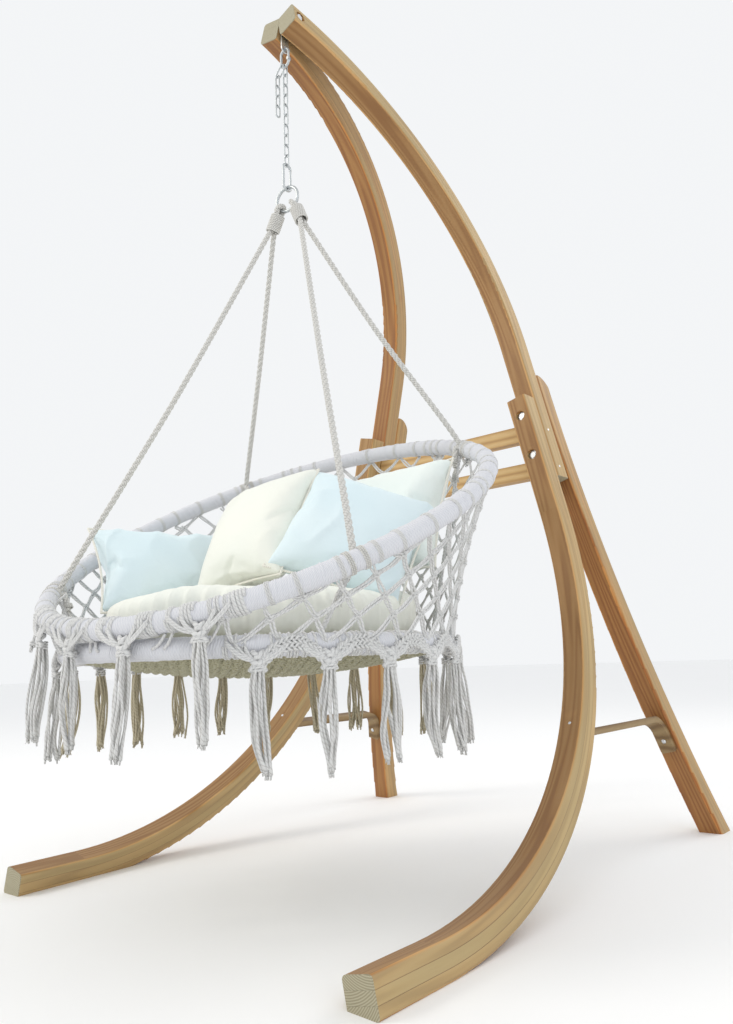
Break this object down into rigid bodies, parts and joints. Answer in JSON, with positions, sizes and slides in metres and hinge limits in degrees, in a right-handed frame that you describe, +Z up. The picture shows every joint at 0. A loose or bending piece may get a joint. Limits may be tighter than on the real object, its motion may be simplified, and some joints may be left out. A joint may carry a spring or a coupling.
{
  "type": "hammock on stand",
  "caption": "Netted cotton hoop chair with cushions, hung by ropes, ring and chain from a free-standing wooden stand of two bent side frames.",
  "frame": {"origin": "centre of the object's box, on the floor", "axes": "+Z up; -Y is the front, the way the feet and the seat point; +X is the right-hand side as seen from the front"},
  "size_m": [1.1214, 1.4974, 2.0523],
  "materials": {
    "larch": "oiled, weathered",
    "zinc": "zinc plated",
    "cotton_cord": "twisted cotton",
    "cushion_cloth": "plain weave"
  },
  "bodies": {
    "stand": {"lower_arc_right": "larch", "lower_arc_left": "larch", "upper_arc_right": "larch", "upper_arc_left": "larch", "rear_leg_right": "larch", "rear_leg_left": "larch", "brace_right": "larch", "brace_left": "larch", "rail_upper": "larch", "rail_lower": "larch", "joint_bolts": "zinc", "joint_nuts": "zinc", "joint_washers": "zinc", "brace_screws": "zinc", "rail_screws": "zinc", "apex_bolt": "zinc", "apex_nut": "zinc", "apex_washers": "zinc", "hanger_strap": "zinc"},
    "top_hook": {"top_hook": "zinc", "top_hook_pin": "zinc", "tail_link": "zinc"},
    "top_gate": {"top_hook_gate": "zinc"},
    "chain_upper": {"chain_upper": "zinc"},
    "chain_middle": {"chain_middle": "zinc"},
    "chain_lower": {"chain_lower": "zinc"},
    "chain_tail": {"chain_tail": "zinc"},
    "lower_hook": {"lower_hook": "zinc", "lower_hook_pin": "zinc"},
    "lower_gate": {"lower_hook_gate": "zinc"},
    "chair": {"ring": "zinc", "hitch_left": "cotton_cord", "hitch_right": "cotton_cord", "rope_front_left": "cotton_cord", "rope_front_right": "cotton_cord", "rope_back_left": "cotton_cord", "rope_back_right": "cotton_cord", "hoop_tube": "zinc", "hoop_wrap": "cotton_cord", "seat_tube": "zinc", "seat_wrap": "cotton_cord", "front_lashing": "cotton_cord", "lower_ties": "cotton_cord", "side_net": "cotton_cord", "seat_net": "cotton_cord", "swag_band": "cotton_cord", "tassels": "cotton_cord", "loose_end": "cotton_cord", "seat_cushion": "cushion_cloth", "pillow_left": "cushion_cloth", "pillow_centre": "cushion_cloth", "pillow_front": "cushion_cloth", "pillow_back": "cushion_cloth"}
  },
  "joints": [
    {"name": "swing_fore_aft", "type": "hinge", "parent": "stand", "child": "top_hook", "pos_m": [0, -0.2248, 1.965], "axis": [1, 0, 0], "range_deg": [-22, 3]},
    {"name": "swing_side", "type": "hinge", "parent": "top_hook", "child": "chain_upper", "pos_m": [0, -0.2248, 1.9186], "axis": [0, 1, 0], "range_deg": [-4, 4]},
    {"name": "twist_upper", "type": "hinge", "parent": "chain_upper", "child": "chain_middle", "pos_m": [0, -0.2248, 1.8346], "axis": [0, 0, 1], "range_deg": [-10, 10]},
    {"name": "twist_lower", "type": "hinge", "parent": "chain_middle", "child": "chain_lower", "pos_m": [0, -0.2248, 1.7506], "axis": [0, 0, 1], "range_deg": [-10, 10]},
    {"name": "twist_hook", "type": "hinge", "parent": "chain_lower", "child": "lower_hook", "pos_m": [0, -0.2248, 1.6402], "axis": [0, 0, 1], "range_deg": [-10, 10]},
    {"name": "chair_rock", "type": "hinge", "parent": "lower_hook", "child": "chair", "pos_m": [0, -0.2248, 1.5768], "axis": [1, 0, 0], "range_deg": [-3, 3]},
    {"name": "top_gate_hinge", "type": "hinge", "parent": "top_hook", "child": "top_gate", "pos_m": [0.013, -0.2248, 1.933], "axis": [0, 1, 0], "range_deg": [-24, 0], "stiffness_Nm_per_rad": 0.02, "springref_deg": 17.19},
    {"name": "lower_gate_hinge", "type": "hinge", "parent": "lower_hook", "child": "lower_gate", "pos_m": [0, -0.2133, 1.5897], "axis": [-1, 0, 0], "range_deg": [-22, 0], "stiffness_Nm_per_rad": 0.02, "springref_deg": 17.19},
    {"name": "tail_swing", "type": "hinge", "parent": "top_hook", "child": "chain_tail", "pos_m": [-0.02793, -0.2248, 1.90007], "axis": [0, 1, 0], "range_deg": [0, 30]}
  ]
}
